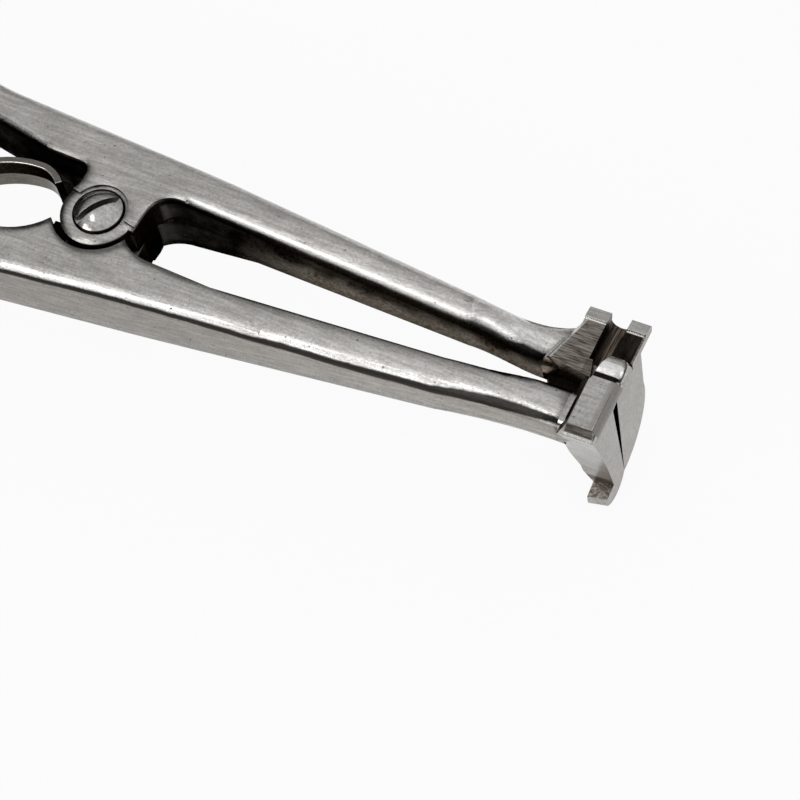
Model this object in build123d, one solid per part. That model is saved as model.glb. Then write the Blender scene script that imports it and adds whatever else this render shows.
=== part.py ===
"""Band forming pliers: two half-lapped steel levers on a slotted pivot screw, each with a forming
head brazed to its beak, and a leaf spring between the handles that keeps the heads together.

Frame: millimetres, +X towards the heads, +Y towards the upper lever, +Z up through the screw head.
The origin is on the pivot axis, in the plane of the joint's underside. The levers are one forging
turned over, each with half of the lap joint, and don't cross, so squeezing the handles spreads
the heads.
"""
from build123d import *
import math
import os

# Joint block
joint_thickness = 7.64
joint_half_width = 9.25
outer_slope = 0.0856
lap_clearance = 0.04
eye_radius = 4.05
socket_radius = 4.88
seat_depth = 0.30
counterbore_radius = 3.16
web_left_x = -3.40
web_right_x = 4.85
web_left_tip_y = 1.42
web_right_tip_y = -0.64
web_left_fillet = 1.30
web_right_fillet = 2.60
web_reach_y = 7.0
hook_left_curve = [(-4.25, 2.55), (-5.95, 4.20), (-10.50, 5.60)]
hook_right_curve = [(4.35, 2.25), (5.45, 3.10), (7.40, 3.70)]
hook_blend_end_x = 22.0
hook_blend_depth = 1.20

# Beak arms, from the joint to the neck
arm_start_x = 8.0
arm_inner_start = 4.15
arm_inner_slope = 0.0632
neck_x = 40.0
neck_thickness = 5.50
neck_centre_z = 3.60
outer_edge_fillet = 1.0
outline_blend_radius = 25.0
taper_blend_radius = 200.0

# Necks: run beyond neck_x, centre y, centre z, width, height, corner radius
neck_waist = (6.5, 3.22, 3.38, 3.70, 5.30, 1.35)
upper_neck_flare = (9.2, 3.70, 2.80, 4.60, 4.60, 1.20)
upper_neck_end = (11.3, 4.50, 2.62, 5.20, 4.50, 0.90)
lower_neck_end = (13.6, 2.90, 3.00, 3.90, 4.60, 1.40)
lower_seam_run = 13.0

# Handles
knee_x = -17.3
handle_knee_angle = 16.0
handle_outer_radius = 252.0
handle_end_x = -104.0
handle_end_width = 4.7
handle_mid_width = 5.7
handle_inner_start = (-9.0, 5.15)
handle_end_round = 2.1

# Pivot screw
screw_head_radius = 2.75
screw_rim_height = 0.40
screw_dome_height = 0.75
screw_slot_width = 0.70
screw_slot_depth = 0.75
screw_slot_angle = 53.0
screw_shank_radius = 2.0
screw_thread_radius = 1.75
shank_clearance = 0.04
head_clearance = 0.03

# Leaf spring and its screw
spring_thickness = 0.75
spring_width = 4.0
spring_root_x = -52.0
spring_root_length = 13.0
spring_seat_depth = 0.35
spring_seat_run = 7.0
spring_leave_radius = 30.0
spring_arch_radius = 10.5
spring_curl_radius = 3.6
spring_curl_angle = 52.0
spring_arch_top = (-9.45, 3.95)
spring_screw_radius = 1.0
spring_screw_head_radius = 1.75
spring_screw_head_height = 0.9
spring_screw_depth = 3.2
spring_hole_clearance = 0.08

# Heads, with distances in x counted back from their ground front
head_reach = 17.25
head_gap = 0.03
ledge_z = 4.40
slot_gap_top = 0.50
slot_top_z = 4.20
toe_z = -9.00

# Lower head: hollow flank, sloping foot, and the lip that reaches over the upper head
lower_top_z = 5.50
lower_depth = 3.95
lower_top_edge_y = -4.40
flank_curve = [(-5.60, 4.95), (-3.59, -2.45), (-2.50, -7.87)]
foot_tip = [(-4.25, -8.05), (-4.60, -8.60)]
foot_under = (-2.55, -10.30)
foot_rear_drop = 1.40
jaw_rear = [(3.85, -1.75), (3.15, -6.10), (2.00, -9.40)]
collar_rear = [(-4.85, 4.45), (-4.95, 2.30), (-4.30, 0.85), (-0.60, 0.85)]
collar_front = [(-5.20, 4.90), (-5.22, 4.50), (-4.80, 3.60), (-0.60, 3.60)]
collar_front_run = 0.80
collar_bevel = 0.70
lip_end_y = 3.85
lip_rear = [(3.15, 0.95), (2.65, 2.70), (2.05, 4.20)]
lip_hump_start_y = 1.40
lip_hump_height = 0.50
lip_front_round = 1.05

# Upper head: convex flank, flange and ears
upper_top_z = 5.35
upper_depth = 5.95
flange_depth = 6.45
flank_side_y = 5.90
flank_turn_z = -1.00
flank_low = (4.50, -6.75)
flank_toe_y = 0.50
flange_thickness = 1.00
web_rear_drop = 2.60
ear_tip_y = 8.60
ear_crease_y = 7.20
ear_rise = 0.25
ear_width = 2.00
groove_width = 2.20
groove_depth = 2.05
groove_end_y = 3.00
block_inner_y = (1.94, 1.10)
block_rear = [(8.40, 1.94), (flange_depth, 7.20)]
block_bevel = 0.45
block_floor_z = 2.20
inner_run = 3.25

# Reach of cutting tools beyond the part
tool_reach = 30.0

front_x = neck_x + head_reach
mid_z = joint_thickness / 2
half_layer = (joint_thickness - lap_clearance) / 2


def outer_y(x):
    """Outer edge of the upper lever in plan, ahead of the knee."""
    return joint_half_width - outer_slope * x


def arm_inner_y(x):
    """Inner edge of the upper beak arm in plan."""
    return arm_inner_start - arm_inner_slope * (x - arm_start_x)


def handle_outer_y(x):
    """Outer edge of the upper handle behind the knee: one long arc."""
    start = math.radians(handle_knee_angle)
    run = handle_outer_radius * math.sin(start) - (knee_x - x)
    turned = math.asin(run / handle_outer_radius)
    return outer_y(knee_x) + handle_outer_radius * (math.cos(turned) - math.cos(start))


def inner_line_y(x):
    """Inner edge between the two cavities: the straight line that the joint features stand on."""
    x0, y0 = handle_inner_start
    return y0 + (arm_inner_start - y0) * (x - x0) / (arm_start_x - x0)


handle_mid_x = (handle_inner_start[0] + handle_end_x) / 2
handle_mid_inner = (handle_mid_x, handle_outer_y(handle_mid_x) - handle_mid_width)
handle_end_inner = (handle_end_x, handle_outer_y(handle_end_x) - handle_end_width)


def near_x(shape, x):
    """Vertices of a sketch that stand at one x."""
    return [v for v in shape.vertices() if abs(v.X - x) < 0.01]


def lever_plan():
    """Plan outline of the upper lever without its joint features."""
    knee = (knee_x, outer_y(knee_x))
    outer_mid_x = (knee_x + handle_end_x) / 2
    outer_mid = (outer_mid_x, handle_outer_y(outer_mid_x))
    outer_end = (handle_end_x, handle_outer_y(handle_end_x))
    neck_outer = (neck_x, outer_y(neck_x))
    neck_inner = (neck_x, arm_inner_y(neck_x))
    with BuildSketch() as plan:
        with BuildLine():
            Line(neck_outer, knee)
            ThreePointArc(knee, outer_mid, outer_end)
            Line(outer_end, handle_end_inner)
            ThreePointArc(handle_end_inner, handle_mid_inner, handle_inner_start)
            Line(handle_inner_start, (arm_start_x, arm_inner_start))
            Line((arm_start_x, arm_inner_start), neck_inner)
            Line(neck_inner, neck_outer)
        make_face()
        fillet(near_x(plan, knee_x), radius=outline_blend_radius)
        fillet(near_x(plan, handle_inner_start[0]), radius=outline_blend_radius)
        fillet(near_x(plan, arm_start_x), radius=outline_blend_radius * 4)
    return plan.sketch


def side_profile():
    """Side view of a lever: even thickness to the joint, then a taper to the neck."""
    with BuildSketch(Plane.XZ) as side:
        with BuildLine():
            Polyline(
                (handle_end_x - 1, 0), (arm_start_x, 0),
                (neck_x, neck_centre_z - neck_thickness / 2),
                (neck_x, neck_centre_z + neck_thickness / 2),
                (arm_start_x, joint_thickness), (handle_end_x - 1, joint_thickness), close=True)
        make_face()
        fillet(near_x(side, arm_start_x), radius=taper_blend_radius)
        fillet(near_x(side, handle_end_x - 1), radius=handle_end_round)
    return extrude(side.sketch, amount=tool_reach, both=True)


def handle_cap():
    """Round end of the handle in plan, with the rest of the lever left free."""
    centre_y = (handle_outer_y(handle_end_x) + handle_end_inner[1]) / 2
    radius = handle_end_width / 2
    end = Pos(handle_end_x + radius, centre_y) * Circle(radius)
    rest = Pos(0, centre_y) * Rectangle(2 * (-handle_end_x - radius), tool_reach * 2)
    return extrude(end + rest, amount=joint_thickness)


def eye_layer(low_z):
    """Layer with the eye and the web round the pivot."""
    outline = [
        handle_inner_start, (web_left_x, inner_line_y(web_left_x)), (web_left_x, 0),
        (web_right_x - 0.4, web_right_tip_y - 0.3), (web_right_x, inner_line_y(web_right_x)),
        (arm_start_x, arm_inner_start), (arm_start_x, web_reach_y),
        (handle_inner_start[0], web_reach_y)]
    with BuildSketch(Plane.XY.offset(low_z)) as layer:
        with BuildLine():
            Polyline(*outline, close=True)
        make_face()
        fillet([v for v in near_x(layer, web_left_x) if v.Y > 3], radius=web_left_fillet)
        fillet([v for v in near_x(layer, web_right_x) if v.Y > 3], radius=web_right_fillet)
        Circle(eye_radius)
    return extrude(layer.sketch, amount=half_layer)


def hook_layer(low_z):
    """Layer with the two hooks that reach round the other lever's eye."""
    left_foot, right_foot = hook_left_curve[-1], hook_right_curve[-1]
    blend_end = (hook_blend_end_x, arm_inner_y(hook_blend_end_x) + hook_blend_depth)
    with BuildSketch(Plane.XY.offset(low_z)) as layer:
        with BuildLine():
            ThreePointArc(*hook_left_curve)
            Line(left_foot, (left_foot[0], web_reach_y))
            Line((left_foot[0], web_reach_y), (hook_blend_end_x, web_reach_y))
            Line((hook_blend_end_x, web_reach_y), blend_end)
            Line(blend_end, right_foot)
            ThreePointArc(*reversed(hook_right_curve))
            Line(hook_right_curve[0], (0, hook_left_curve[0][1] - 1.5))
            Line((0, hook_left_curve[0][1] - 1.5), hook_left_curve[0])
        make_face()
    return extrude(layer.sketch, amount=half_layer)


def cross_section(x, y, z, width, height, radius):
    """Rounded rectangle across the arm, facing the heads."""
    with BuildSketch(Plane(origin=(x, y, z), x_dir=(0, 1, 0), z_dir=(1, 0, 0))) as section:
        RectangleRounded(width, height, radius)
    return section.sketch


def neck_section(place):
    """Section of a neck at its run beyond the arm."""
    run, y, z, width, height, radius = place
    return cross_section(neck_x + run, y, z, width, height, radius)


def lever(eye_on_top, bore_radius, neck_places):
    """One lever as it lies on the +Y side: handle, half-lap joint, beak arm and neck."""
    body = extrude(lever_plan(), amount=joint_thickness) & side_profile()
    long_edges = [
        e for e in body.edges()
        if e.length > 5 and abs(e.center().Z - mid_z) > 1.5 and e.center().X > handle_end_x + 10]
    body = fillet(long_edges, radius=outer_edge_fillet)
    arm_end = body.faces().sort_by(Axis.X)[-1]
    body = body & handle_cap()
    upper_low_z = joint_thickness - half_layer
    eye_z, hook_z = (upper_low_z, 0) if eye_on_top else (0, upper_low_z)
    socket_z = hook_z if eye_on_top else hook_z - lap_clearance
    body = body + (eye_layer(eye_z) + hook_layer(hook_z)) & side_profile()
    socket = Pos(0, 0, socket_z) * extrude(
        Circle(socket_radius), amount=half_layer + lap_clearance)
    bore = extrude(Circle(bore_radius), amount=joint_thickness)
    body = body - socket - bore
    if eye_on_top:
        body = body - sunk_seat()
    return body + loft([arm_end] + [neck_section(place) for place in neck_places])


def sunk_seat():
    """Shallow cut that leaves the eye lower than the face, so the screw head sits down."""
    reach = 8.0
    slope = (web_right_tip_y - web_left_tip_y) / (web_right_x - web_left_x)
    left = web_left_tip_y + slope * (-reach - web_left_x)
    right = web_left_tip_y + slope * (reach - web_left_x)
    with BuildSketch(Plane.XY.offset(joint_thickness - seat_depth)) as seat:
        with BuildLine():
            Polyline((-reach, left), (-reach, -reach), (reach, -reach), (reach, right), close=True)
        make_face()
        Circle(counterbore_radius)
    return extrude(seat.sketch, amount=seat_depth * 2)


def pivot_screw():
    """Domed slotted screw: its head turns on the upper eye, its thread holds the lower one."""
    seat_z = joint_thickness - seat_depth + head_clearance
    rim_z = seat_z + screw_rim_height
    top_z = rim_z + screw_dome_height
    shank_end = mid_z
    with BuildSketch(Plane.XZ) as half:
        with BuildLine():
            Polyline(
                (0, top_z), (0, 0), (screw_thread_radius, 0), (screw_thread_radius, shank_end),
                (screw_shank_radius, shank_end), (screw_shank_radius, seat_z),
                (screw_head_radius, seat_z), (screw_head_radius, rim_z))
            chord = math.hypot(screw_head_radius, screw_dome_height) / 2
            bulge = screw_dome_height * 0.24
            ThreePointArc(
                (screw_head_radius, rim_z),
                (screw_head_radius / 2 + bulge * screw_dome_height / (2 * chord),
                 (rim_z + top_z) / 2 + bulge * screw_head_radius / (2 * chord)),
                (0, top_z))
        make_face()
    body = revolve(half.sketch, axis=Axis.Z)
    slot = Pos(0, 0, top_z) * Rot(0, 0, screw_slot_angle) * Box(
        screw_head_radius * 3, screw_slot_width, screw_slot_depth * 2)
    return body - slot


def lower_inner_y(x):
    """Inner edge of the lower handle, on the arc through its three points."""
    (x1, y1), (x2, y2), (x3, y3) = handle_inner_start, handle_mid_inner, handle_end_inner
    a, b = x2 - x1, y2 - y1
    c, d = x3 - x1, y3 - y1
    e = a * (x1 + x2) + b * (y1 + y2)
    f = c * (x1 + x3) + d * (y1 + y3)
    g = 2 * (a * (y3 - y2) - b * (x3 - x2))
    cx, cy = (d * e - b * f) / g, (a * f - c * e) / g
    radius = math.hypot(x1 - cx, y1 - cy)
    return -(cy + math.sqrt(radius ** 2 - (x - cx) ** 2)), cx, cy


def spring_seat_frame():
    """Plane on the lower handle's inner face: x along the spring root, y off the handle."""
    y, cx, cy = lower_inner_y(spring_root_x)
    normal = Vector(cx - spring_root_x, -cy - y, 0).normalized()
    normal = normal if normal.Y > 0 else -normal
    along = Vector(normal.Y, -normal.X, 0)
    origin = Vector(spring_root_x, y, mid_z) - normal * spring_seat_depth
    return Plane(origin=origin, x_dir=along, z_dir=(0, 0, 1))


def spring_line():
    """Centre line of the leaf in plan: flat root, long lift, arch and curled tip."""
    seat = spring_seat_frame()
    half = spring_thickness / 2
    start = seat.origin + seat.y_dir * half - seat.x_dir * spring_root_length / 2
    root_end = start + seat.x_dir * spring_root_length
    root_angle = math.degrees(math.atan2(seat.x_dir.Y, seat.x_dir.X))
    apex = Vector(*spring_arch_top)
    arch_centre = apex - Vector(0, spring_arch_radius)
    lift_centre = Vector(root_end.X, root_end.Y) + Vector(
        -math.sin(math.radians(root_angle)), math.cos(math.radians(root_angle))) * spring_leave_radius
    gap = arch_centre - lift_centre
    lean = math.degrees(math.atan2(gap.Y, gap.X))
    cross = math.degrees(math.asin((spring_leave_radius + spring_arch_radius) / gap.length))
    climb = lean + cross
    with BuildLine() as line:
        root = Line((start.X, start.Y), (root_end.X, root_end.Y))
        lift = JernArc(root @ 1, root % 1, spring_leave_radius, climb - root_angle)
        begin = arch_centre + Vector(
            -math.sin(math.radians(climb)), math.cos(math.radians(climb))) * spring_arch_radius
        rise = Line(lift @ 1, (begin.X, begin.Y))
        arch = JernArc(rise @ 1, rise % 1, spring_arch_radius, -climb)
        JernArc(arch @ 1, arch % 1, spring_curl_radius, -spring_curl_angle)
    return line.line


def leaf_spring():
    """Flat strip set on edge between the handles, screwed to the lower one."""
    with BuildSketch(Plane.XY.offset(mid_z - spring_width / 2)) as strip:
        trace(spring_line(), line_width=spring_thickness)
    body = extrude(strip.sketch, amount=spring_width)
    return body - spring_hole(spring_screw_radius + spring_hole_clearance, spring_thickness * 2, 0)


def spring_hole(radius, depth, start):
    """Round tool square to the spring root, from a depth below the seat."""
    seat = spring_seat_frame()
    face = Plane(origin=seat.origin + seat.y_dir * start, x_dir=seat.x_dir, z_dir=seat.y_dir)
    return extrude(face * Circle(radius), amount=depth)


def spring_screw():
    """Small slotted screw through the spring root into the lower handle."""
    seat = spring_seat_frame()
    shank = spring_hole(spring_screw_radius, spring_screw_depth + spring_thickness, -spring_screw_depth)
    head = spring_hole(spring_screw_head_radius, spring_screw_head_height, spring_thickness)
    top = seat.origin + seat.y_dir * (spring_thickness + spring_screw_head_height)
    slot_plane = Plane(origin=top, x_dir=seat.x_dir, z_dir=seat.y_dir)
    slot = slot_plane * Box(spring_screw_head_radius * 3, 0.5, spring_screw_head_height * 0.9)
    return shank + head - slot


def spring_seat_cut():
    """Flat milled in the lower handle for the spring root, with the screw's thread below it."""
    seat = spring_seat_frame()
    flat = Pos(spring_seat_run / 2, spring_seat_depth * 2, 0) * Box(
        spring_root_length + spring_seat_run + 0.6, spring_seat_depth * 4, joint_thickness * 2)
    return seat * flat + spring_hole(spring_screw_radius, spring_screw_depth, -spring_screw_depth)


def across(x, outline):
    """Face across the pliers at one x, from the lines and arcs that an outline function draws."""
    with BuildSketch(Plane(origin=(x, 0, 0), x_dir=(0, 1, 0), z_dir=(1, 0, 0))) as face:
        with BuildLine():
            outline()
        make_face()
    return face.sketch


def plan_prism(points, low_z, high_z):
    """Upright prism over a polygon in plan."""
    with BuildSketch(Plane.XY.offset(low_z)) as face:
        with BuildLine():
            Polyline(*points, close=True)
        make_face()
    return extrude(face.sketch, amount=high_z - low_z)


def lower_jaw_outline(foot_drop):
    """Front view of the lower head: lip, ground top, hollow flank and foot."""
    lip_under = ledge_z + head_gap
    lip_top = (lip_end_y, lower_top_z + lip_hump_height * 0.4)
    hump = ((lip_hump_start_y + lip_end_y) / 2, lower_top_z + lip_hump_height)
    foot_y, foot_z = flank_curve[2]
    foot = [(foot_y, foot_z - foot_drop), *[(y, z - foot_drop) for y, z in foot_tip]]
    under = (foot_under[0], foot_under[1] - foot_drop)
    Polyline((-head_gap / 2, toe_z), (-slot_gap_top, slot_top_z), (-head_gap, lip_under),
             (lip_end_y, lip_under), lip_top)
    ThreePointArc(lip_top, hump, (lip_hump_start_y, lower_top_z))
    Polyline((lip_hump_start_y, lower_top_z), (lower_top_edge_y, lower_top_z), flank_curve[0])
    ThreePointArc(flank_curve[0], flank_curve[1], foot[0])
    Polyline(*foot)
    ThreePointArc(foot[-1], under, (-head_gap / 2, toe_z))


def collar_outline(corners):
    """Back of the lower head round the neck, with its ground top."""
    Polyline(
        (lip_rear[0][1], lower_top_z), (lower_top_edge_y, lower_top_z), *corners,
        (-slot_gap_top, ledge_z + head_gap), (lip_rear[0][1], ledge_z + head_gap), close=True)


def back_from_front(points):
    """Plan points from pairs of distance behind the front and y."""
    return [(front_x - run, y) for run, y in points]


def jaw_back():
    """Space behind the lower jaw, which curves forward towards the foot."""
    (top_run, top_z), (mid_run, middle_z), (low_run, low_z) = jaw_rear
    behind = front_x - lower_depth - 1
    with BuildSketch(Plane.XZ) as side:
        with BuildLine():
            ThreePointArc(
                (front_x - top_run, top_z), (front_x - mid_run, middle_z),
                (front_x - low_run, low_z))
            Polyline(
                (front_x - low_run, low_z), (front_x - low_run, low_z * 2), (behind, low_z * 2),
                (behind, collar_rear[-1][1]), (front_x - top_run, collar_rear[-1][1]),
                (front_x - top_run, top_z))
        make_face()
    return extrude(side.sketch, amount=tool_reach, both=True)


def lower_head():
    """Head on the lower lever."""
    back_x = front_x - lower_depth
    jaw = loft([across(back_x, lambda: lower_jaw_outline(foot_rear_drop)),
                across(front_x, lambda: lower_jaw_outline(0))], ruled=True)
    front_edge = [
        e for e in jaw.edges()
        if e.center().Z > lower_top_z - 0.01 and e.length > 2 and e.center().X > front_x - 0.01]
    jaw = fillet(front_edge, radius=lip_front_round) - jaw_back()
    collar = loft([across(back_x, lambda: collar_outline(collar_rear)),
                   across(front_x - collar_front_run, lambda: collar_outline(collar_front))],
                  ruled=True)
    with BuildSketch(Plane.XZ) as bevel:
        with BuildLine():
            Polyline(
                (back_x, lower_top_z - collar_bevel), (back_x + collar_bevel, lower_top_z),
                (back_x + collar_bevel, lower_top_z + 1), (back_x - 1, lower_top_z + 1),
                (back_x - 1, lower_top_z - collar_bevel), close=True)
        make_face()
    body = jaw + collar - extrude(bevel.sketch, amount=tool_reach, both=True)
    lip_back = plan_prism(
        [(back_x - 1, lip_rear[0][1]), *back_from_front(lip_rear),
         (front_x - lip_rear[-1][0], lip_rear[-1][1] + 1),
         (back_x - 1, lip_rear[-1][1] + 1)], toe_z * 2, -toe_z * 2)
    return body - lip_back


def upper_jaw_outline():
    """Front view of the upper head: contact face, ledge, flange with its ear, convex flank."""
    step_y = lip_end_y + head_gap * 2
    under_z = upper_top_z - flange_thickness
    Polyline(
        (head_gap / 2, toe_z), (head_gap / 2, ledge_z), (step_y, ledge_z), (step_y, upper_top_z),
        (ear_crease_y, upper_top_z), (ear_crease_y + 0.1, upper_top_z + ear_rise),
        (ear_tip_y, upper_top_z), (ear_tip_y + 0.15, upper_top_z - ear_rise), (ear_tip_y, under_z),
        (flank_side_y, under_z), (flank_side_y, flank_turn_z))
    ThreePointArc((flank_side_y, flank_turn_z), flank_low, (flank_toe_y, toe_z))
    Line((flank_toe_y, toe_z), (head_gap / 2, toe_z))


def flange_web():
    """Wedge under the flange, thicker towards the neck."""
    under_z = upper_top_z - flange_thickness
    rear_x = front_x - flange_depth
    plane = Plane(origin=(0, flank_side_y - 0.5, 0), x_dir=(1, 0, 0), z_dir=(0, -1, 0))
    with BuildSketch(plane) as web:
        with BuildLine():
            Polyline((front_x, under_z), (rear_x, under_z), (rear_x, under_z - web_rear_drop),
                     close=True)
        make_face()
    return extrude(web.sketch, amount=-(ear_tip_y - flank_side_y + 0.4))


def groove_cut():
    """Round-bottomed groove across the flange, open at its tip."""
    groove_x = front_x - ear_width - groove_width / 2
    radius = groove_width / 2
    centre_z = upper_top_z - groove_depth + radius
    run = ear_tip_y - groove_end_y + 1
    mouth = Plane(origin=(groove_x, groove_end_y, centre_z), x_dir=(1, 0, 0), z_dir=(0, 1, 0))
    top = Pos(groove_x, groove_end_y + run / 2, centre_z + radius) * Box(
        groove_width, run, radius * 2)
    return extrude(mouth * Circle(radius), amount=run) + top


def upper_head():
    """Head on the upper lever, ahead of its neck."""
    rear_x = front_x - upper_depth
    step_y = lip_end_y + head_gap * 2
    flange_x = front_x - flange_depth
    jaw = extrude(across(flange_x, upper_jaw_outline), amount=flange_depth)
    under_flange = plan_prism(
        [(flange_x - 1, -tool_reach), (rear_x, -tool_reach), (rear_x, tool_reach),
         (flange_x - 1, tool_reach)],
        toe_z * 2, block_floor_z)
    jaw = jaw - under_flange
    foot, shoulder = back_from_front(block_rear)
    inner_x = front_x - inner_run
    wedge = plan_prism(
        [foot, shoulder, (rear_x + 1, shoulder[1]), (inner_x, block_inner_y[1])],
        block_floor_z, upper_top_z)
    rear_edge = [
        e for e in wedge.edges()
        if e.center().Z > upper_top_z - 0.01 and e.length > 2
        and abs(e.center().X - (foot[0] + shoulder[0]) / 2) < 0.01]
    wedge = chamfer(rear_edge, block_bevel)
    head = jaw + flange_web() + wedge
    behind = foot[0] - 1
    inner_side = [(behind, foot[1]), foot, (inner_x, block_inner_y[1])]
    below_lip = plan_prism([*inner_side, (inner_x, -2), (behind, -2)], block_floor_z, ledge_z + 1)
    above_ledge = plan_prism(
        [*inner_side, (inner_x, step_y), (front_x + 1, step_y), (front_x + 1, -2), (behind, -2)],
        ledge_z, ledge_z + 5)
    return head - below_lip - above_ledge - groove_cut()


def ahead_of_block_rear():
    """Space ahead of the oblique plane at which the upper head is brazed to its neck."""
    foot, shoulder = back_from_front(block_rear)
    slope = (shoulder[0] - foot[0]) / (shoulder[1] - foot[1])
    low_y, high_y = -4, 14
    low_x = foot[0] + slope * (low_y - foot[1])
    high_x = foot[0] + slope * (high_y - foot[1])
    return plan_prism(
        [(low_x, low_y), (high_x, high_y), (front_x + 1, high_y), (front_x + 1, low_y)],
        toe_z * 2, -toe_z * 2)


def build_all():
    """All the nodes by name. Each neck is cut at its seam, and the rest of it joins the head."""
    upper_blank = lever(
        True, screw_shank_radius + shank_clearance,
        (neck_waist, upper_neck_flare, upper_neck_end))
    lower_blank = mirror(
        lever(False, screw_thread_radius, (neck_waist, lower_neck_end)), about=Plane.XZ)
    upper_seam = ahead_of_block_rear()
    seam_x = neck_x + lower_seam_run
    lower_seam = Pos(seam_x + tool_reach, 0, 0) * Box(
        tool_reach * 2, tool_reach * 2, tool_reach * 2)
    return {
        "upper_lever": upper_blank - upper_seam,
        "upper_head": upper_head() + (upper_blank & upper_seam),
        "lower_lever": lower_blank - lower_seam - spring_seat_cut(),
        "lower_head": lower_head() + (lower_blank & lower_seam),
        "pivot_screw": pivot_screw(),
        "leaf_spring": leaf_spring(),
        "spring_screw": spring_screw(),
    }


os.makedirs("parts", exist_ok=True)
for name, solid in build_all().items():
    export_step(solid, f"parts/{name}.step")
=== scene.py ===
import bpy
import bmesh
import math
from mathutils import Matrix, Vector


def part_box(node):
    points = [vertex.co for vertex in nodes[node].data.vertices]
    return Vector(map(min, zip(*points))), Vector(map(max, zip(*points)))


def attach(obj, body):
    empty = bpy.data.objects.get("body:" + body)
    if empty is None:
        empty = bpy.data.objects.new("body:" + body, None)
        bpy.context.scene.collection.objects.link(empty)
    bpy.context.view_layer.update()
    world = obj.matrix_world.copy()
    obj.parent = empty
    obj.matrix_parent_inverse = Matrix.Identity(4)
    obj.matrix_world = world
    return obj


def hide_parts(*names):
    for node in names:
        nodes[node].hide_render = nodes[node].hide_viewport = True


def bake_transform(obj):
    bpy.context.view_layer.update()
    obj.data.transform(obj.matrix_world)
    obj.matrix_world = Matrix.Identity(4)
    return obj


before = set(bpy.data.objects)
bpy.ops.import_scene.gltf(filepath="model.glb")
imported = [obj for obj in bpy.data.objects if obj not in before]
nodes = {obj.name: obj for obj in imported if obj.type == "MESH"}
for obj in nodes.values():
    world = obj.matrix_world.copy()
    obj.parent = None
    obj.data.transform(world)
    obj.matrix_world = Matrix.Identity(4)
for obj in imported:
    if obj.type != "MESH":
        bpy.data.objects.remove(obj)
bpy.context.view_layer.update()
mm_per_m = 1000

# The view of the pliers: a long lens from above the heads' side, a little to the right, as a
# catalogue picture is taken. The camera stands 0.3 m from the joint and is turned about its own
# axis so that the beak runs down to the right.
camera_place = Vector((0.1245, -0.1238, 0.2382))
camera_yaw = math.radians(36.81)
camera_pitch = math.radians(58.15)
camera_roll = math.radians(-13.26)
toward = Vector((math.sin(camera_yaw) * math.cos(camera_pitch),
                 -math.cos(camera_yaw) * math.cos(camera_pitch), math.sin(camera_pitch)))
level_right = Vector((math.cos(camera_yaw), math.sin(camera_yaw), 0))
level_up = toward.cross(level_right)
right = math.cos(camera_roll) * level_right + math.sin(camera_roll) * level_up
up = -math.sin(camera_roll) * level_right + math.cos(camera_roll) * level_up
camera_data = bpy.data.cameras.new("camera")
camera_data.lens = 127.0
camera_data.sensor_width = 36.0
camera_data.clip_start = 0.01
camera = bpy.data.objects.new("camera", camera_data)
turned = Matrix((right, up, toward)).transposed().to_4x4()
camera.matrix_world = Matrix.Translation(camera_place) @ turned
bpy.context.scene.collection.objects.link(camera)
bpy.context.scene.camera = camera
bpy.context.scene.view_settings.view_transform = "Standard"

# The table: one pale plain sheet just under the lowest point of the heads. The lens and the
# steel's reflections see it near white, and it takes the pliers' soft shadow.
floor_gap = 0.0001
floor_half = 1.2
floor_white = 0.80
floor_lift = 0.93
low_z = min(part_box(name)[0][2] for name in nodes) - floor_gap
floor_mesh = bpy.data.meshes.new("table")
floor_mesh.from_pydata(
    [(-floor_half, -floor_half, low_z), (floor_half, -floor_half, low_z),
     (floor_half, floor_half, low_z), (-floor_half, floor_half, low_z)], [], [(0, 1, 2, 3)])
floor = bpy.data.objects.new("table", floor_mesh)
bpy.context.scene.collection.objects.link(floor)
floor_material = bpy.data.materials.new("pale_table")
floor_material.use_nodes = True
tree = floor_material.node_tree
tree.nodes.clear()
paper = tree.nodes.new("ShaderNodeBsdfDiffuse")
paper.inputs["Color"].default_value = (floor_white, floor_white, floor_white, 1)
glow = tree.nodes.new("ShaderNodeEmission")
glow.inputs["Color"].default_value = (1, 1, 1, 1)
path = tree.nodes.new("ShaderNodeLightPath")
seen = tree.nodes.new("ShaderNodeMath")
seen.operation = "MAXIMUM"
share = tree.nodes.new("ShaderNodeMath")
share.operation = "MULTIPLY"
share.inputs[1].default_value = floor_lift
mix = tree.nodes.new("ShaderNodeMixShader")
out = tree.nodes.new("ShaderNodeOutputMaterial")
tree.links.new(path.outputs["Is Camera Ray"], seen.inputs[0])
tree.links.new(path.outputs["Is Glossy Ray"], seen.inputs[1])
tree.links.new(seen.outputs[0], share.inputs[0])
tree.links.new(share.outputs[0], mix.inputs["Fac"])
tree.links.new(paper.outputs[0], mix.inputs[1])
tree.links.new(glow.outputs[0], mix.inputs[2])
tree.links.new(mix.outputs[0], out.inputs["Surface"])
floor_mesh.materials.append(floor_material)

# The studio: a dim room that brightens overhead and on the far side, a broad soft box on the
# near side that draws the white line along each rounded edge, one on the right, and a small weak
# one high up.
world = bpy.data.worlds.new("studio")
bpy.context.scene.world = world
world.use_nodes = True
tree = world.node_tree
tree.nodes.clear()
around = tree.nodes.new("ShaderNodeTexCoord")
split = tree.nodes.new("ShaderNodeSeparateXYZ")
ramp = tree.nodes.new("ShaderNodeValToRGB")
ramp.color_ramp.elements[0].position = 0.0
ramp.color_ramp.elements[0].color = (0.01, 0.01, 0.01, 1)
ramp.color_ramp.elements[1].position = 1.0
ramp.color_ramp.elements[1].color = (0.74, 0.74, 0.75, 1)
for height, grey in ((0.36, 0.03), (0.52, 0.30), (0.80, 0.62)):
    stop = ramp.color_ramp.elements.new(height)
    stop.color = (grey, grey, grey, 1)
room = tree.nodes.new("ShaderNodeBackground")
room.inputs["Strength"].default_value = 1.0
out = tree.nodes.new("ShaderNodeOutputWorld")
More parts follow.
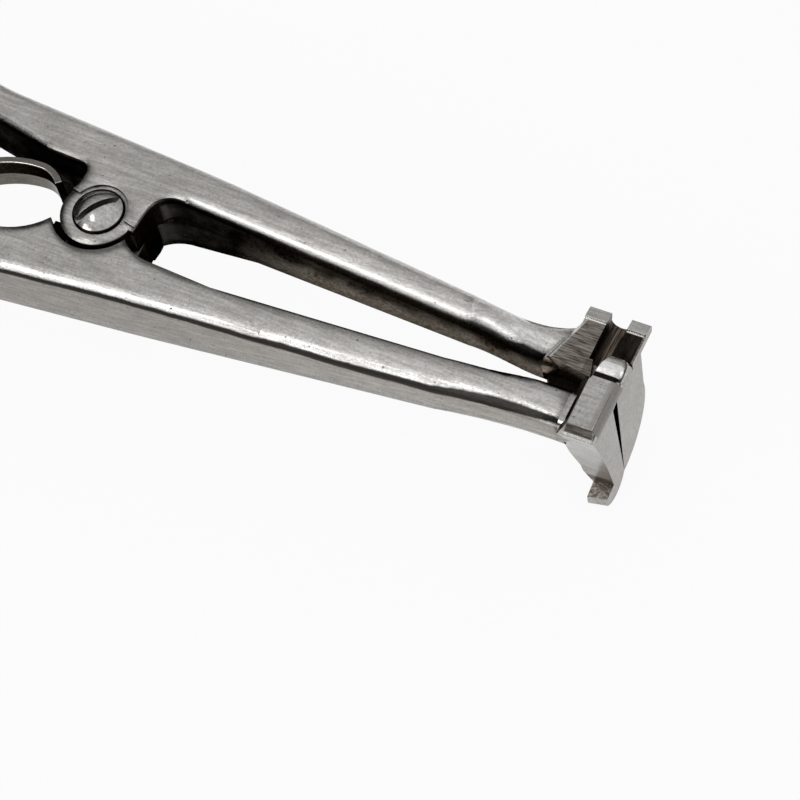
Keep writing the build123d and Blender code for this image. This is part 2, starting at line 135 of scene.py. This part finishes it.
tree.links.new(around.outputs["Generated"], split.inputs[0])
far_side = tree.nodes.new("ShaderNodeMath")
far_side.operation = "MAXIMUM"
far_side.inputs[1].default_value = 0.0
lifted = tree.nodes.new("ShaderNodeMath")
lifted.operation = "MULTIPLY_ADD"
lifted.inputs[1].default_value = 0.30
tree.links.new(split.outputs["Y"], far_side.inputs[0])
tree.links.new(far_side.outputs[0], lifted.inputs[0])
tree.links.new(split.outputs["Z"], lifted.inputs[2])
tree.links.new(lifted.outputs[0], ramp.inputs["Fac"])
tree.links.new(ramp.outputs["Color"], room.inputs["Color"])
tree.links.new(room.outputs[0], out.inputs["Surface"])


def soft_box(name, direction, distance, width, height, power):
    """Area lamp that faces the joint from one side."""
    lamp_data = bpy.data.lights.new(name, "AREA")
    lamp_data.shape = "RECTANGLE"
    lamp_data.size = width
    lamp_data.size_y = height
    lamp_data.energy = power
    lamp = bpy.data.objects.new(name, lamp_data)
    way = Vector(direction).normalized()
    lamp.location = way * distance
    lamp.rotation_euler = way.to_track_quat("Z", "Y").to_euler()
    bpy.context.scene.collection.objects.link(lamp)


soft_box("near_box", (-0.30, -0.80, 0.62), 0.60, 0.50, 0.22, 1.0)
soft_box("right_box", (0.85, 0.10, 0.50), 0.70, 0.35, 0.35, 0.4)
soft_box("upper_box", (-0.316, -0.222, 0.922), 0.60, 0.16, 0.10, 0.15)

# Painted shade: a near black and a dark brown for faces that lie in shade.
shade_black, shade_brown = (0.004, 0.003, 0.002), (0.024, 0.019, 0.014)


# The levers: two drop forgings in stainless steel, one turned over. Their flats were ground and
# then rubbed satin and their long edges are rubbed round and bright; the edges are painted lighter
# still as part of their highlight, and the sides darker as shade. The faces that no hand reaches
# between the beaks and round the joint are brown, partly as patina and partly as painted shade,
# and a dark band under each top edge is a painted reflection.
def worn_steel(name, flat, side, edge, roughness, hollow_reach, lever_inner_y=0.0):
    """Satin steel: mottled flats, sides painted darker as shade, rubbed edges painted lighter as
    highlight, and brown hollows and inner faces that are partly patina and partly painted shade.
    """
    material = bpy.data.materials.new(name)
    material.use_nodes = True
    tree = material.node_tree
    shader = tree.nodes["Principled BSDF"]
    shader.inputs["Metallic"].default_value = 1.0
    place = tree.nodes.new("ShaderNodeTexCoord")

    def math_node(operation, a, b=None):
        node = tree.nodes.new("ShaderNodeMath")
        node.operation = operation
        for socket, value in zip(node.inputs, (a, b)):
            if isinstance(value, (int, float)):
                socket.default_value = value
            elif value is not None:
                tree.links.new(value, socket)
        return node.outputs[0]

    def noise(scale, detail, turn=0.0, stretch=1.0, rough=0.6):
        turned = tree.nodes.new("ShaderNodeMapping")
        turned.inputs["Rotation"].default_value = (0, 0, turn)
        turned.inputs["Scale"].default_value = (stretch, 1, 1)
        cloud = tree.nodes.new("ShaderNodeTexNoise")
        cloud.inputs["Scale"].default_value = scale
        cloud.inputs["Detail"].default_value = detail
        cloud.inputs["Roughness"].default_value = rough
        tree.links.new(place.outputs["Object"], turned.inputs["Vector"])
        tree.links.new(turned.outputs[0], cloud.inputs["Vector"])
        return cloud.outputs["Fac"]

    def band(value, low, high, start, end):
        node = tree.nodes.new("ShaderNodeMapRange")
        for key, amount in (("From Min", low), ("From Max", high),
                            ("To Min", start), ("To Max", end)):
            node.inputs[key].default_value = amount
        tree.links.new(value, node.inputs["Value"])
        return node.outputs[0]

    def blend(factor, a, b):
        node = tree.nodes.new("ShaderNodeMix")
        node.data_type = "RGBA"
        tree.links.new(factor, node.inputs["Factor"])
        for key, colour in (("A", a), ("B", b)):
            if isinstance(colour, tuple):
                node.inputs[key].default_value = (*colour, 1)
            else:
                tree.links.new(colour, node.inputs[key])
        return node.outputs["Result"]

    facing = tree.nodes.new("ShaderNodeSeparateXYZ")
    tree.links.new(place.outputs["Normal"], facing.inputs[0])
    spot = tree.nodes.new("ShaderNodeSeparateXYZ")
    tree.links.new(place.outputs["Object"], spot.inputs[0])
    steep = math_node("ABSOLUTE", facing.outputs["Z"])
    is_flat = band(steep, 0.94, 0.995, 0, 1)
    is_shaded_side = band(steep, 0.20, 0.42, 1, 0)

    mottle = noise(3600, 3)
    cloudy = noise(260, 4)
    scratches = noise(2400, 5, turn=-0.68, stretch=0.10, rough=0.7)
    pits = noise(2900, 2, rough=0.4)

    # The sides are painted darker as shade; the edges are painted lighter as part of their
    # highlight.
    wear_and_shade_tone = blend(is_flat, edge, flat)
    wear_and_shade_tone = blend(is_shaded_side, wear_and_shade_tone, side)
    # Painted reflection: a dark band runs along the rounded top edges, just below the top.
    if lever_inner_y:
        top_z = band(spot.outputs["X"], 0.008, 0.040, 0.00764, 0.00635)
        below_top = math_node("ADD", math_node("SUBTRACT", top_z, spot.outputs["Z"]),
                              band(cloudy, 0.3, 0.7, -0.00010, 0.00010))
        depth = math_node("SUBTRACT", below_top, band(spot.outputs["X"], 0.010, 0.034, 0, 0.00055))
        painted_dark_band = math_node("MULTIPLY", band(below_top, 0.00038, 0.00055, 0, 0.96),
                          band(depth, 0.00098, 0.00120, 1, 0))
        painted_dark_band = math_node("MULTIPLY", painted_dark_band, band(steep, 0.80, 0.90, 1, 0))
        wear_and_shade_tone = blend(painted_dark_band, wear_and_shade_tone, (0.016, 0.013, 0.010))
    dull = tree.nodes.new("ShaderNodeMix")
    dull.data_type = "RGBA"
    dull.blend_type = "MULTIPLY"
    dull.inputs["Factor"].default_value = 1.0
    tree.links.new(wear_and_shade_tone, dull.inputs["A"])
    variation = math_node("MULTIPLY", band(mottle, 0.34, 0.66, 0.85, 1.12),
                          band(cloudy, 0.32, 0.68, 0.92, 1.07))
    variation = math_node("MULTIPLY", variation, band(scratches, 0.38, 0.64, 0.82, 1.18))
    if lever_inner_y:
        variation = math_node("MULTIPLY", variation,
                              band(spot.outputs["X"], 0.008, 0.034, 1.0, 1.22))
    grey = tree.nodes.new("ShaderNodeCombineColor")
    for key in ("Red", "Green", "Blue"):
        tree.links.new(variation, grey.inputs[key])
    tree.links.new(grey.outputs[0], dull.inputs["B"])

    # Brown in the hollows and on the inner faces is partly patina and partly painted shade; round
    # the joint the inner faces are painted near black as shade, and where they are dark they lose
    # their sheen.
    hollow = tree.nodes.new("ShaderNodeAmbientOcclusion")
    hollow.inputs["Distance"].default_value = hollow_reach
    hollow.samples = 6
    stain_and_shade = math_node("MULTIPLY", band(hollow.outputs["AO"], 0.30, 0.80, 1, 0),
                      band(cloudy, 0.30, 0.60, 0.75, 1.0))
    if lever_inner_y:
        inward = math_node("MULTIPLY", facing.outputs["Y"], lever_inner_y)
        inner_patina_and_shade = math_node("MULTIPLY", band(inward, 0.45, 0.85, 0, 1),
                           band(cloudy, 0.35, 0.65, 0.88, 1.0))
        stain_and_shade = math_node("MAXIMUM", stain_and_shade, inner_patina_and_shade)
    brown = blend(band(mottle, 0.35, 0.65, 0, 1), (0.014, 0.011, 0.008), (0.085, 0.070, 0.054))
    if lever_inner_y:
        low = band(math_node("ADD", spot.outputs["Z"], band(cloudy, 0.3, 0.7, -0.0006, 0.0006)),
                   0.0028, 0.0044, 1, 0)
        low = math_node("MULTIPLY", low, band(spot.outputs["X"], 0.012, 0.024, 0, 1))
        pale = blend(band(mottle, 0.35, 0.65, 0, 1), (0.070, 0.059, 0.047), (0.250, 0.222, 0.186))
        dark = blend(band(mottle, 0.35, 0.65, 0, 1), (0.006, 0.005, 0.004), (0.032, 0.026, 0.020))
        shaded_near_joint = band(math_node("ABSOLUTE", spot.outputs["X"]), 0.010, 0.021, 1, 0)
        brown = blend(shaded_near_joint, blend(low, dark, pale), shade_black)
    aged_and_shaded = blend(stain_and_shade, dull.outputs["Result"], brown)
    sheen = math_node("SUBTRACT", 1.0, math_node("MULTIPLY", stain_and_shade, 0.75))
    tree.links.new(blend(sheen, (0.0, 0.0, 0.0), (1.0, 1.0, 1.0)), shader.inputs["Specular Tint"])
    specks = band(pits, 0.24, 0.29, 1, 0)
    tree.links.new(blend(specks, aged_and_shaded, (0.05, 0.042, 0.035)), shader.inputs["Base Color"])

    rough = band(is_shaded_side, 0, 1, roughness, roughness + 0.06)
    polish = math_node("MULTIPLY", math_node("SUBTRACT", 1.0, is_flat),
                       math_node("SUBTRACT", 1.0, is_shaded_side))
    rough = math_node("SUBTRACT", rough, math_node("MULTIPLY", polish, 0.08))
    rough = math_node("ADD", rough, band(mottle, 0.3, 0.7, -0.03, 0.05))
    rough = math_node("ADD", rough, math_node("MULTIPLY", stain_and_shade, 0.12))
    tree.links.new(rough, shader.inputs["Roughness"])

    bump = tree.nodes.new("ShaderNodeBump")
    bump.inputs["Strength"].default_value = 0.30
    bump.inputs["Distance"].default_value = 0.00002
    height = math_node("ADD", math_node("MULTIPLY", mottle, 0.5), scratches)
    height = math_node("SUBTRACT", height, math_node("MULTIPLY", specks, 1.2))
    tree.links.new(height, bump.inputs["Height"])
    if lever_inner_y:
        rounded = tree.nodes.new("ShaderNodeBevel")
        rounded.samples = 8
        reach = band(spot.outputs["X"], 0.006, 0.032, 0.0018, 0.0032)
        reach = math_node("MULTIPLY", reach, band(spot.outputs["X"], -0.026, -0.013, 0.05, 1))
        tree.links.new(reach, rounded.inputs["Radius"])
        tree.links.new(rounded.outputs[0], bump.inputs["Normal"])
    tree.links.new(bump.outputs[0], shader.inputs["Normal"])
    return material


# How a CAD mesh is dressed: points this close are one, faces this near to flat are one, a piece
# that bends is cut into this many strips, and edges steeper than the crease stay sharp. Only edges
# a little steeper still are softened.
merge_within = 1e-6
flat_within = math.radians(0.05)
bend_cuts = 24
plain_crease, lever_crease = 28, 50
softened_past_crease = 7


def dressed(node, body, material, edge, reshape=None, lugs=(), bend=(),
            crease=plain_crease):
    """Copy of a CAD piece with merged faces, a last touch of the wheel and softened edges. A lug
    is a small upright block of the same forging: its plan in millimetres, and its two heights.
    A piece that bends is cut into strips between the two X places of its bend and is attached to
    no body."""
    mesh = nodes[node].data.copy()
    work = bmesh.new()
    work.from_mesh(mesh)
    bmesh.ops.remove_doubles(work, verts=work.verts, dist=merge_within)
    bmesh.ops.dissolve_limit(
        work, angle_limit=flat_within, verts=work.verts, edges=work.edges)
    if reshape:
        for vertex in work.verts:
            vertex.co = reshape(vertex.co)
    for plan, low, high in lugs:
        rings = [[work.verts.new((x / mm_per_m, y / mm_per_m, z / mm_per_m)) for x, y in plan]
                 for z in (low, high)]
        work.faces.new(list(reversed(rings[0])))
        work.faces.new(rings[1])
        for a in range(len(plan)):
            b = (a + 1) % len(plan)
            work.faces.new((rings[0][a], rings[0][b], rings[1][b], rings[1][a]))
    for count in range(bend_cuts if bend else 0):
        cut = bend[0] + (bend[1] - bend[0]) * count / bend_cuts
        bmesh.ops.bisect_plane(work, geom=work.verts[:] + work.edges[:] + work.faces[:],
                               plane_co=(cut, 0, 0), plane_no=(1, 0, 0))
    work.to_mesh(mesh)
    work.free()
    mesh.shade_smooth()
    mesh.set_sharp_from_angle(angle=math.radians(crease))
    mesh.materials.clear()
    mesh.materials.append(material)
    piece = bpy.data.objects.new(node + "_finished", mesh)
    bpy.context.scene.collection.objects.link(piece)
    if edge:
        soften = piece.modifiers.new("softened_edges", "BEVEL")
        soften.width = edge
        soften.segments = 2
        soften.limit_method = "ANGLE"
        soften.angle_limit = math.radians(crease + softened_past_crease)
        soften.harden_normals = True
        evened = piece.modifiers.new("even_shading", "WEIGHTED_NORMAL")
        evened.mode = "FACE_AREA"
        evened.weight = 80
        evened.keep_sharp = True
    if bend:
        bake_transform(piece)
    else:
        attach(piece, body)
    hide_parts(node)


def fuller_lower_neck(point):
    """The lower neck swells a little on its inner side where it meets the head."""
    start, length, outer_y, width, most = 0.0435, 0.0065, 0.0040, 0.0030, 0.00055
    along = min(max((point.x - start) / length, 0), 1)
    across = min(max((point.y + outer_y) / width, 0), 1)
    swell = most * along * along * (3 - 2 * along) * across
    in_neck = point.y < -0.0006 and point.x < 0.0541 and point.z < 0.0056
    return Vector((point.x, point.y + swell, point.z)) if in_neck else point


def slimmer_upper_arm(point):
    """The upper arm runs into its neck without a shoulder on its outer side."""
    shoulder_x, reach_x, inner_y, width, most = 0.0400, 0.0035, 0.0032, 0.0022, 0.00033
    near = max(0, 1 - abs(point.x - shoulder_x) / reach_x)
    across = min(max((point.y - inner_y) / width, 0), 1)
    point = Vector((point.x, point.y - most * near * across, point.z))
    # Where the arm leaves the joint its rounded inner edge starts from a square corner.
    corner_x, radius, middle_y, middle_z = 0.008, 0.0010, 0.00515, 0.0066
    out, rise = middle_y - point.y, point.z - middle_z
    if abs(point.x - corner_x) < 0.00003 and out > 0 and rise > 0:
        reach = min(math.hypot(out, rise), radius) / max(out, rise)
        point = Vector((point.x, middle_y - out * reach, middle_z + rise * reach))
    return point


# In the joint's lower layer each forging fills the corners of the cavities with a small lug; the
# lower lever's two stand where there is only shade and are painted black.
upper_lugs = (
    (((-8.6, 5.2), (-8.0, 4.3), (-7.1, 3.4), (-6.3, 3.5), (-5.6, 4.0), (-5.8, 4.6), (-7.5, 5.3)),
     0.3, 1.55),)
lower_shade_lugs = (
    (((-5.8, -3.5), (-3.0, -3.5), (-3.0, -0.65), (-5.7, -0.65)), 0.2, 3.7),
    (((3.7, 0.2), (4.75, 0.5), (4.85, 1.6), (4.8, 2.35), (4.3, 2.05), (3.6, 1.9)), 0.2, 3.7))
# Painted light on the levers: the side grey stands for shade, the edge tone is partly wear and
# partly highlight.
satin, shaded_side_grey, rubbed_edge_and_highlight = (0.50, 0.485, 0.46), (0.29, 0.275, 0.255), (0.66, 0.65, 0.63)
upper_steel = worn_steel(
    "upper_lever_steel", satin, shaded_side_grey, rubbed_edge_and_highlight, 0.22, 0.007, -1.0)
lower_steel = worn_steel(
    "lower_lever_steel", satin, shaded_side_grey, rubbed_edge_and_highlight, 0.22, 0.007, 1.0)


def step(tree, value, start, end):
    """0 up to the start, 1 from the end on."""
    node = tree.nodes.new("ShaderNodeMapRange")
    node.inputs["From Min"].default_value = start
    node.inputs["From Max"].default_value = end
    tree.links.new(value, node.inputs["Value"])
    return node.outputs[0]


def mix_into(tree, share, socket, value, kind="RGBA"):
    """What feeds the socket gives way to another value or output, by a share."""
    mixed = tree.nodes.new("ShaderNodeMix")
    mixed.data_type = kind
    tree.links.new(share, mixed.inputs["Factor"])
    tree.links.new(socket.links[0].from_socket, mixed.inputs["A"])
    if isinstance(value, bpy.types.NodeSocket):
        tree.links.new(value, mixed.inputs["B"])
    else:
        mixed.inputs["B"].default_value = value
    tree.links.new(mixed.outputs["Result"], socket)


def patch(material, low, high, facing, light, dark, stroke, turn, roughness, lean=0.0):
    """Finish of one ground face, or light and shade painted on it: the part of the piece between
    two corners, in millimetres, that faces one way takes its own colour, the marks of its tool and
    its own
    gloss. A lean slants the box: its X sides run that much further for each millimetre of Y. No
    facing means all round."""
    tree = material.node_tree
    shader = tree.nodes["Principled BSDF"]
    place = tree.nodes.new("ShaderNodeTexCoord")
    spot = tree.nodes.new("ShaderNodeSeparateXYZ")
    tree.links.new(place.outputs["Object"], spot.inputs[0])
    towards = tree.nodes.new("ShaderNodeVectorMath")
    towards.operation = "DOT_PRODUCT"
    towards.inputs[1].default_value = facing
    tree.links.new(place.outputs["Normal"], towards.inputs[0])

    share = step(tree, towards.outputs["Value"], *((0.55, 0.80) if any(facing) else (-3, -2)))
    slanted = tree.nodes.new("ShaderNodeMath")
    slanted.operation = "MULTIPLY_ADD"
    slanted.inputs[1].default_value = -lean
    tree.links.new(spot.outputs["Y"], slanted.inputs[0])
    tree.links.new(spot.outputs["X"], slanted.inputs[2])
    reach = {"X": slanted.outputs[0], "Y": spot.outputs["Y"], "Z": spot.outputs["Z"]}
    half_fade = 0.00004
    for axis, start, end in zip("XYZ", low, high):
        for sign, bound in ((1, start), (-1, end)):
            node = tree.nodes.new("ShaderNodeMath")
            node.operation = "MULTIPLY"
            soft = half_fade * sign
            tree.links.new(share, node.inputs[0])
            edge = bound / mm_per_m
            tree.links.new(step(tree, reach[axis], edge - soft, edge + soft), node.inputs[1])
            share = node.outputs[0]
    turned = tree.nodes.new("ShaderNodeMapping")
    turned.inputs["Rotation"].default_value = (0, 0, turn)
    turned.inputs["Scale"].default_value = stroke
    marks = tree.nodes.new("ShaderNodeTexNoise")
    marks.inputs["Scale"].default_value = 5200
    marks.inputs["Detail"].default_value = 4
    marks.inputs["Roughness"].default_value = 0.72
    tree.links.new(place.outputs["Object"], turned.inputs["Vector"])
    tree.links.new(turned.outputs[0], marks.inputs["Vector"])
    tone = tree.nodes.new("ShaderNodeValToRGB")
    tone.color_ramp.elements[0].position = 0.38
    tone.color_ramp.elements[0].color = (*dark, 1)
    tone.color_ramp.elements[1].position = 0.64
    tone.color_ramp.elements[1].color = (*light, 1)
    tree.links.new(marks.outputs["Fac"], tone.inputs["Fac"])
    mix_into(tree, share, shader.inputs["Base Color"], tone.outputs["Color"])
    mix_into(tree, share, shader.inputs["Roughness"], roughness, "FLOAT")
    if max(light) < black_as_shade:
        mix_into(tree, share, shader.inputs["Specular Tint"], (0, 0, 0, 1))


# A patch darker than this takes no sheen, so that it stays black as painted shade. No facing means
# that a patch goes all round.
black_as_shade = 0.05
all_round = (0, 0, 0)
# Painted shade round the joint: the cavity walls that face along X, and a low upward face of the
# upper arm by the joint, are painted dark brown to black.
for steel, low_y, high_y in ((upper_steel, -4.9, 7.0), (lower_steel, -7.0, 4.9)):
    for way in ((1, 0, 0), (-1, 0, 0)):
        patch(steel, (-12, low_y, 0), (9.5, high_y, 7.2), way, shade_brown, shade_black, (1, 1, 1), 0.0, 0.45)
patch(upper_steel, (6, -1, 3.0), (17, 4.6, 5.2), (0, 0, 1), shade_brown, shade_black, (1, 1, 1), 0.0, 0.45)
# Painted shade: the lower lever's lugs and the faces about them are painted black.
for low, high in (((-6.2, -3.8, 0), (-2.9, -0.5, 3.79)), ((3.5, 0.1, 0), (5.2, 2.7, 3.79))):
    patch(lower_steel, low, high, all_round, shade_black, shade_black, (1, 1, 1), 0.0, 0.6)
dressed("upper_lever", "upper_half", upper_steel, 0.00008, slimmer_upper_arm,
        upper_lugs, crease=lever_crease)
dressed("lower_lever", "lower_half", lower_steel, 0.00008, fuller_lower_neck,
        lower_shade_lugs, crease=lever_crease)

# The heads: two blocks ground to shape on a wheel and brazed to the necks. The file has left its
# marks on the flat behind the groove, and brazing has browned that face and the groove's floor. As
# on the levers, their sides are painted darker as shade.
ground = ((0.49, 0.475, 0.455), (0.34, 0.325, 0.305), (0.50, 0.485, 0.465))
upper_head_steel = worn_steel("upper_head_steel", *ground, 0.26, 0.002)
patch(upper_head_steel, (48.9, 0, 5.25), (57, 7.2, 5.45), (0, 0, 1),
      (0.34, 0.31, 0.275), (0.060, 0.050, 0.040), (0.09, 1, 1), -0.22, 0.33, 0.33)
patch(upper_head_steel, (48.2, -1, 2.0), (54.3, 3.4, 5.33), (0.2, -1, 0),
      (0.34, 0.26, 0.20), (0.030, 0.022, 0.017), (0.4, 1, 1), 0.4, 0.34)
patch(upper_head_steel, (53.0, 2.9, 3.1), (55.3, 8.7, 5.30), (0, 0, 1),
      (0.22, 0.175, 0.135), (0.020, 0.016, 0.012), (1, 0.06, 1), 0.0, 0.28)
# Painted shade: the groove's wall that faces +X is painted near black.
patch(upper_head_steel, (52.8, 2.9, 3.1), (55.3, 8.8, 5.30), (1, 0, 0),
      (0.09, 0.075, 0.060), (0.012, 0.010, 0.008), (1, 0.06, 1), 0.0, 0.30)
# Painted reflection: the flat on the front side of the groove is painted near black.
patch(upper_head_steel, (55.2, 2.9, 5.25), (57.05, 7.2, 5.45), (0, 0, 1),
      (0.030, 0.025, 0.020), (0.006, 0.005, 0.004), (0.3, 0.12, 1), 0.0, 0.30)
patch(upper_head_steel, (52.9, 0, 5.25), (55.2, 2.95, 5.45), (0, 0, 1),
      (0.22, 0.19, 0.16), (0.045, 0.037, 0.030), (0.09, 1, 1), -0.22, 0.33)
# Painted shade: the filler under the block and the faces round it are painted near black.
patch(upper_head_steel, (48, 0.12, -9), (54.5, 3.6, 2.72), all_round, shade_brown, shade_black,
      (1, 1, 1), 0.0, 0.5)
# Painted highlight: a white strip along the crease at the ears' outer end.
patch(upper_head_steel, (50, 7.10, 5.3), (57.1, 7.36, 5.7), (0, -0.5, 0.87),
      (0.98, 0.97, 0.95), (0.86, 0.84, 0.81), (0.3, 1, 1), 0.0, 0.45)
# Painted shade: the contact face between the jaws is painted black.
patch(upper_head_steel, (50, -0.1, -9.2), (57.2, 0.1, 4.5), (0, -1, 0),
      (0.02, 0.018, 0.015), (0.008, 0.007, 0.006), (1, 1, 1), 0.0, 0.5)
# Under the block a filler closes the corner behind the contact face; it stands where there is only
# shade and is painted near black.
shade_block = (((48.9, 1.5), (49.9, 0.3), (53.4, 0.3), (53.4, 3.2), (49.4, 3.2)), -2.6, 2.6)
dressed("upper_head", "upper_half", upper_head_steel, 0.00014, None, (shade_block,))

lower_head_steel = worn_steel("lower_head_steel", *ground, 0.26, 0.002)
patch(lower_head_steel, (56.1, -4.6, 4.4), (57.3, 1.4, 5.6), (0.7, 0, 0.7),
      (0.40, 0.385, 0.365), (0.33, 0.315, 0.295), (0.5, 1, 1), 0.0, 0.60)
patch(lower_head_steel, (54.0, -5.25, 4.2), (56.9, -4.43, 5.49), (0, -0.6, 0.8),
      (0.17, 0.155, 0.135), (0.040, 0.034, 0.028), (0.10, 1, 1), 0.25, 0.45)
patch(lower_head_steel, (54.2, -5.25, 3.75), (56.7, -4.35, 4.35), (0, -1, 0),
      (0.17, 0.155, 0.135), (0.040, 0.034, 0.028), (0.10, 1, 1), 0.25, 0.45)
patch(lower_head_steel, (53, -3.0, -8.1), (57.15, -1.7, -6.9), (0, -1, 0),
      (0.12, 0.098, 0.076), (0.030, 0.024, 0.018), (0.3, 1, 1), 0.0, 0.35)
# Painted reflection and highlight on the lip: a black stripe where its hump rises, and the hump
# white.
patch(lower_head_steel, (53.5, 1.30, 5.4), (57.0, 1.75, 6.2), (0, -0.3, 0.95),
      (0.012, 0.010, 0.008), (0.006, 0.005, 0.004), (1, 1, 1), 0.0, 0.3)
patch(lower_head_steel, (53.5, 1.75, 5.4), (56.9, 3.0, 6.2), (0, 0, 1),
      (0.99, 0.985, 0.975), (0.75, 0.73, 0.71), (0.4, 1, 1), 0.0, 0.30)
patch(lower_head_steel, (52, -6, 4.75), (54.05, 1.3, 5.49), (-0.7, 0, 0.7),
      (0.20, 0.165, 0.130), (0.050, 0.041, 0.033), (1, 0.08, 1), 0.0, 0.30)
patch(lower_head_steel, (53, -4.4, -10.8), (57.15, -2.45, -7.8), (-0.3, 0, 0.95),
      (0.98, 0.92, 0.84), (0.20, 0.160, 0.120), (0.5, 1, 1), 0.9, 0.34)
# Painted shade: the contact face between the jaws is painted black.
patch(lower_head_steel, (50, -0.7, -9.2), (57.2, 0.1, 4.3), (0, 1, 0),
      (0.02, 0.018, 0.015), (0.008, 0.007, 0.006), (1, 1, 1), 0.0, 0.5)


def wider_slit(point):
    """The contact faces stand a little further apart at the top, under the lip."""
    point = fuller_lower_neck(point)
    at_top = -0.0006 < point.y < -0.0004 and 0.0041 < point.z < 0.0043 and point.x > 0.0535
    return Vector((point.x, point.y - 0.0005, point.z)) if at_top else point


dressed("lower_head", "lower_half", lower_head_steel, 0.00012, wider_slit)

# The pivot screw: turned from bar, domed and slotted, and run in until its head just lets the
# upper lever turn. The small one that holds the spring is the same work.
screw_steel = worn_steel(
    "screw_steel", (0.46, 0.445, 0.42), (0.30, 0.285, 0.265), (0.56, 0.545, 0.52), 0.20, 0.0008)
tree = screw_steel.node_tree
place = tree.nodes.new("ShaderNodeTexCoord")
level = tree.nodes.new("ShaderNodeVectorMath")
level.operation = "MULTIPLY"
level.inputs[1].default_value = (1, 1, 0)
out = tree.nodes.new("ShaderNodeVectorMath")
out.operation = "LENGTH"
tree.links.new(place.outputs["Object"], level.inputs[0])
tree.links.new(level.outputs[0], out.inputs[0])
# A ring between the dome and the rim of its seat is painted black as shade.
painted_shade_ring = tree.nodes.new("ShaderNodeMath")
painted_shade_ring.operation = "MULTIPLY"
tree.links.new(step(tree, out.outputs["Value"], 0.00252, 0.00258), painted_shade_ring.inputs[0])
tree.links.new(step(tree, out.outputs["Value"], 0.00300, 0.00290), painted_shade_ring.inputs[1])
for name in ("Base Color", "Specular Tint"):
    mix_into(tree, painted_shade_ring.outputs[0], tree.nodes["Principled BSDF"].inputs[name], (*shade_black, 1))
head_top, head_rim, head_radius = 0.008504, 0.007754, 0.00275


def fuller_dome(point):
    """The screw's dome falls away in one curve almost to its seat."""
    out = min(math.hypot(point.x, point.y) / head_radius, 1)
    ball = (head_radius ** 2 + (head_top - head_rim) ** 2) / (2 * (head_top - head_rim))
    was = head_top - ball + math.sqrt(ball ** 2 - (out * head_radius) ** 2)
    if abs(point.z - was) > 0.00006:
        return point
    return Vector((point.x, point.y, head_top - 0.00106 * out ** 2.1))


dressed("pivot_screw", "lower_half", screw_steel, 0.00003, fuller_dome)
dressed("spring_screw", "lower_half", screw_steel, 0.00006)

# The leaf spring: a strip of hardened steel set on edge, screwed to the lower handle and curled
# where it bears on the upper one.
# Its edges are painted light as part of their highlight.
spring_steel = worn_steel(
    "spring_steel", (0.17, 0.158, 0.142), (0.13, 0.118, 0.102), (0.75, 0.73, 0.70), 0.22, 0.002)
spring_top = max(corner[2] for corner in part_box("leaf_spring")) * mm_per_m
# The upper part of the spring's side that faces -Y is darker.
patch(spring_steel, (-60, -25, spring_top - 2.0), (0, 20, spring_top - 0.15), (0, -1, 0),
      (0.040, 0.033, 0.026), (0.012, 0.010, 0.008), (0.3, 1, 1), 0.0, 0.35)
# Painted shade: the spring's curl by the joint is painted black.
patch(spring_steel, (-7.0, -2, 0), (0, 8, spring_top - 0.15), all_round, shade_brown, shade_black,
      (1, 1, 1), 0.0, 0.5)
dressed("leaf_spring", "lower_half", spring_steel, 0.00018,
        bend=(-0.044, -0.012))
